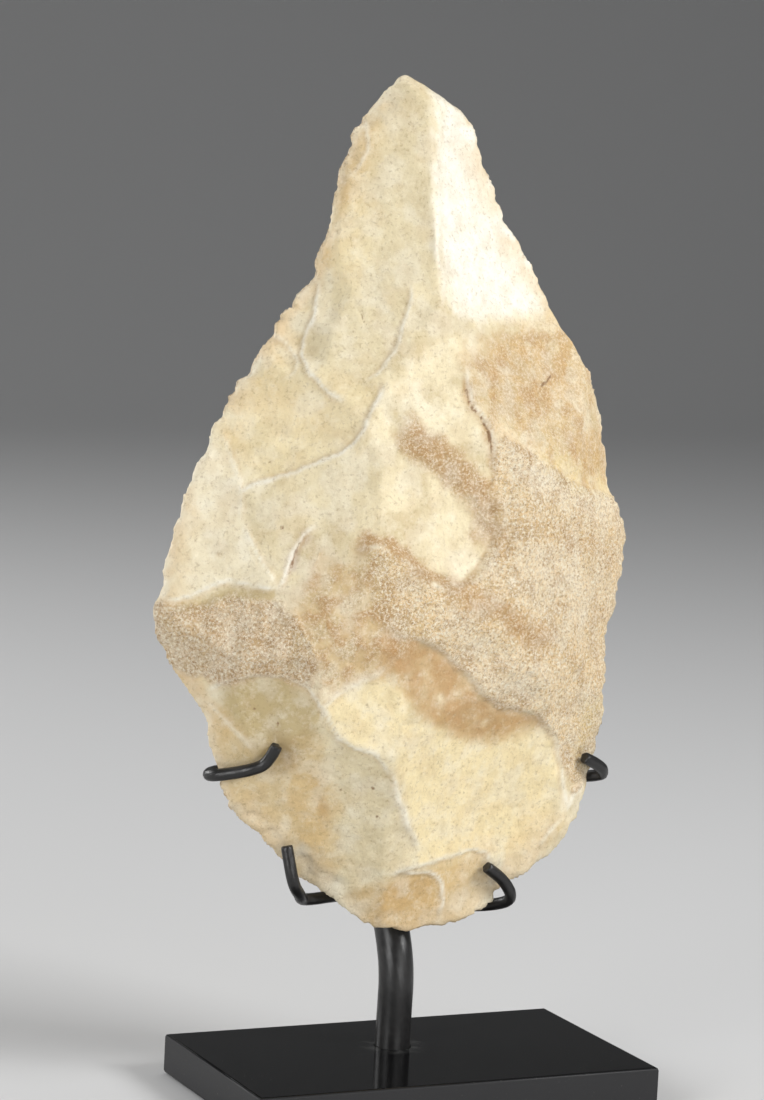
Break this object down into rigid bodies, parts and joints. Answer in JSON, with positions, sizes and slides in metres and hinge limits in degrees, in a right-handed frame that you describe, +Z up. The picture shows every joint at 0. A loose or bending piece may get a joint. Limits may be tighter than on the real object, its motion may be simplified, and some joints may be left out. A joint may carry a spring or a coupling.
{
  "type": "stone hand axe",
  "caption": "Knapped pear-shaped stone hand axe, held upright by hooked wires on a bent post over a flat black display plate.",
  "frame": {"origin": "middle of the base plate's underside", "axes": "+Z up, +X along the plate's long side, the axe's front face towards -Y"},
  "size_m": [0.1025, 0.0542, 0.2005],
  "materials": {
    "stone": "smooth flaked flint with rough sandy rind",
    "base_lacquer": "black gloss",
    "black_metal": "black satin"
  },
  "bodies": {
    "root": {"hand_axe": "stone", "base": "base_lacquer", "post": "black_metal", "wire_upper_left": "black_metal", "wire_upper_right": "black_metal", "wire_lower_left": "black_metal", "wire_lower_right": "black_metal"}
  },
  "joints": []
}
